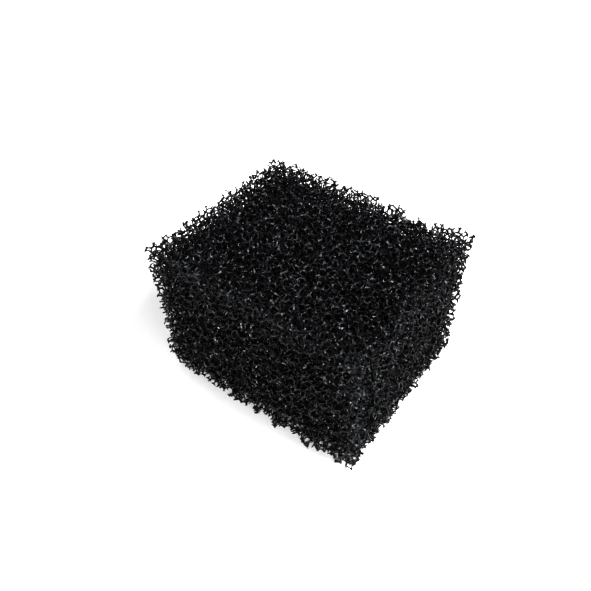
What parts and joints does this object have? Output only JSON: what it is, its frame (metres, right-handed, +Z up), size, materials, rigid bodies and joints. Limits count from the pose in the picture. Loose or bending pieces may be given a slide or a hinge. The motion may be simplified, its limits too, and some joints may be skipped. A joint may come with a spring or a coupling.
{
  "type": "filter sponge",
  "caption": "Rectangular block of coarse black open-cell foam that strains and biologically filters pond or aquarium water.",
  "frame": {"origin": "centre of the underside, on the surface that the block stands on", "axes": "+X along the longest edge, +Y along the middle edge, +Z up along the shortest edge"},
  "size_m": [0.12, 0.1, 0.08],
  "materials": {
    "filter_foam": "matte"
  },
  "bodies": {
    "root": {"foam_block": "filter_foam"}
  },
  "joints": []
}
